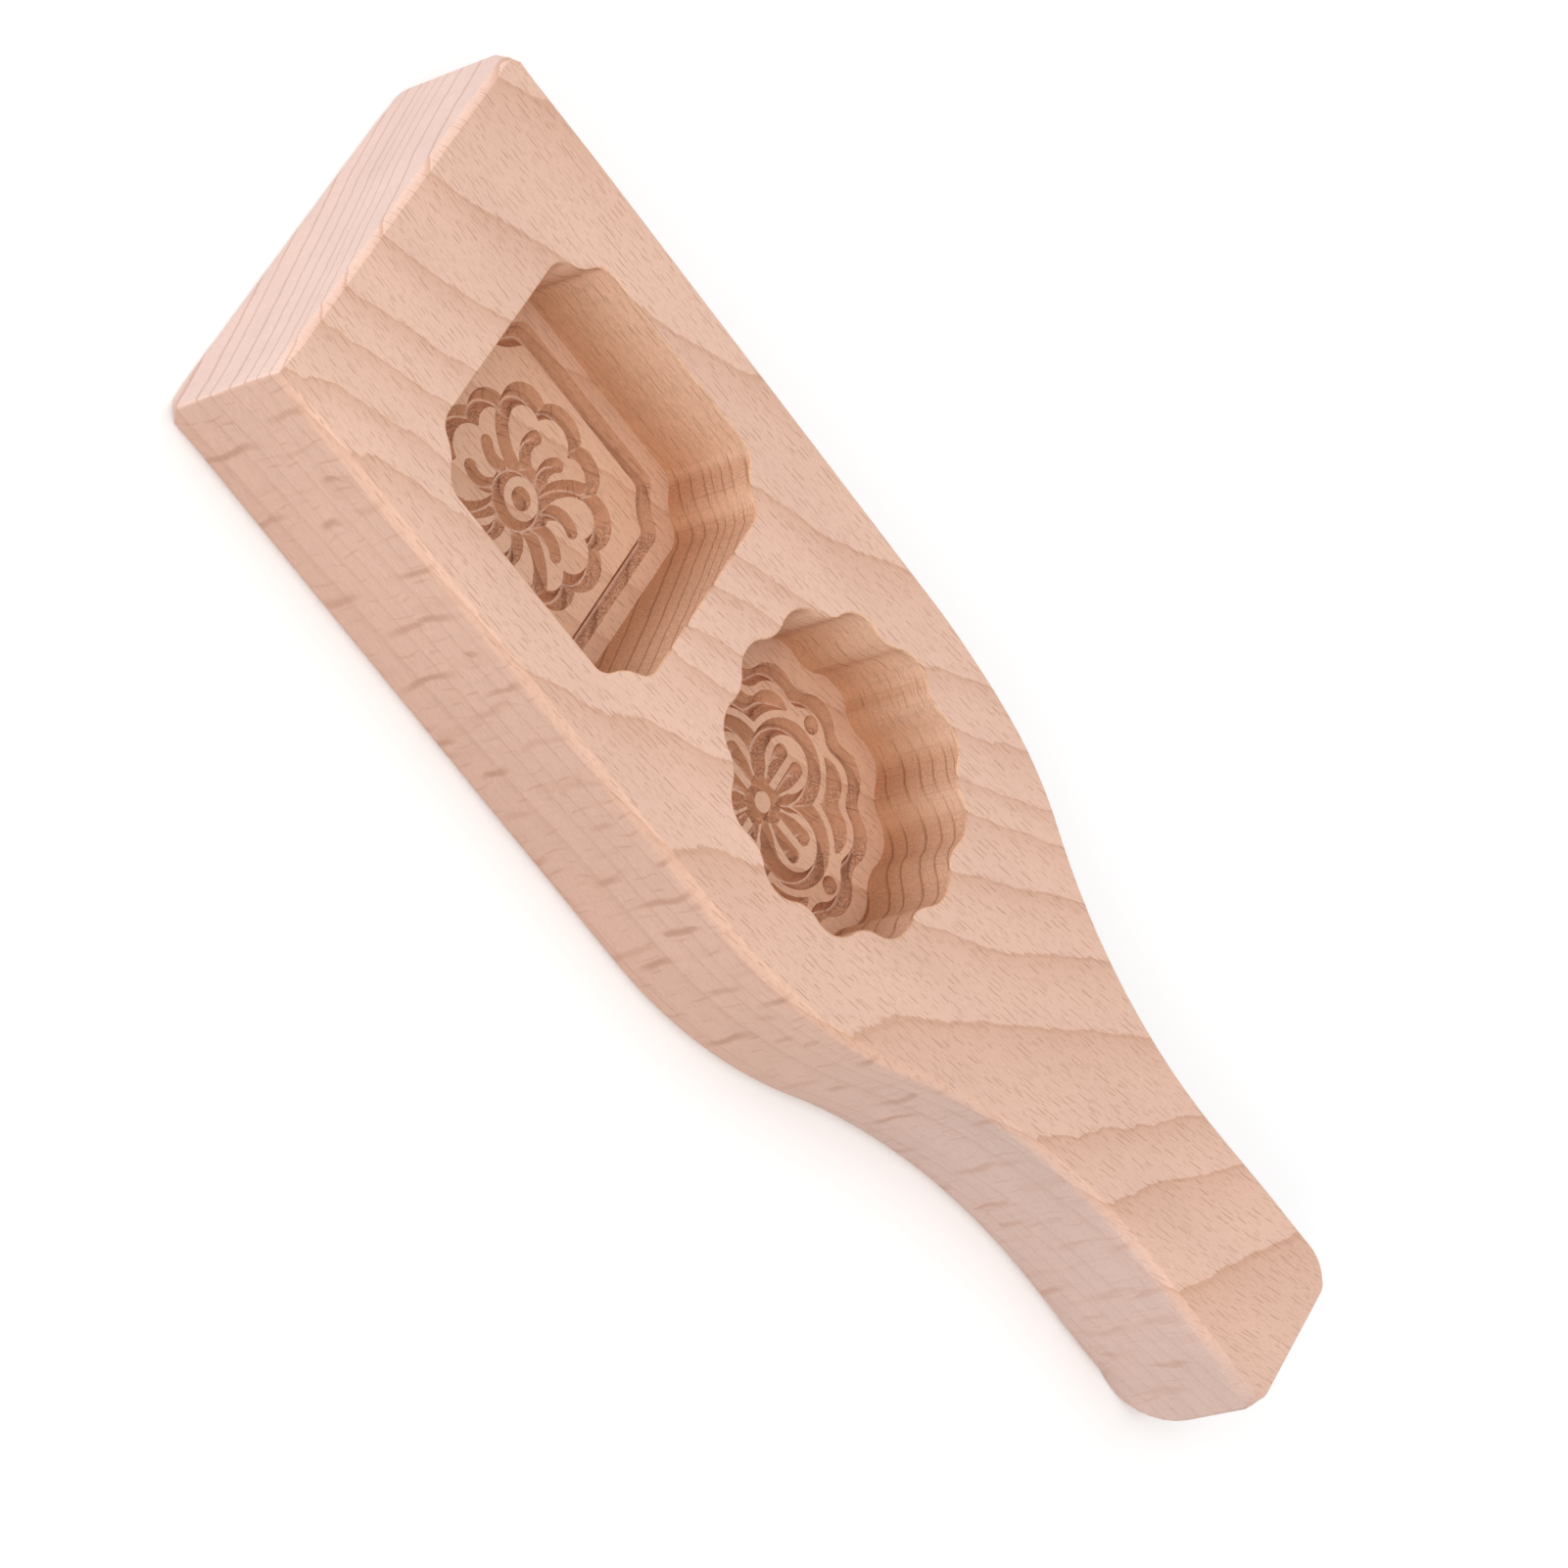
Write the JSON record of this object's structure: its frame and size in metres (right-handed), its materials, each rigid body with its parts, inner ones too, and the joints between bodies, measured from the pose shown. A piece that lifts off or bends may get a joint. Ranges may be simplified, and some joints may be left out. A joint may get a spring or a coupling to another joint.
{
  "type": "wooden mooncake mold",
  "caption": "One-piece beech mould board with a notched square cavity and a scalloped round cavity, flower-carved floors, a curved neck and a handle for knocking cakes out.",
  "frame": {"origin": "under the middle of the board, on the flat back that it lies on", "axes": "+X along the board from the head towards the handle, +Z out of the carved top face, +Y across the board"},
  "size_m": [0.246, 0.08, 0.0265],
  "materials": {
    "beech": "bare sanded beech, matte"
  },
  "bodies": {
    "root": {"mold_body": "beech"}
  },
  "joints": []
}
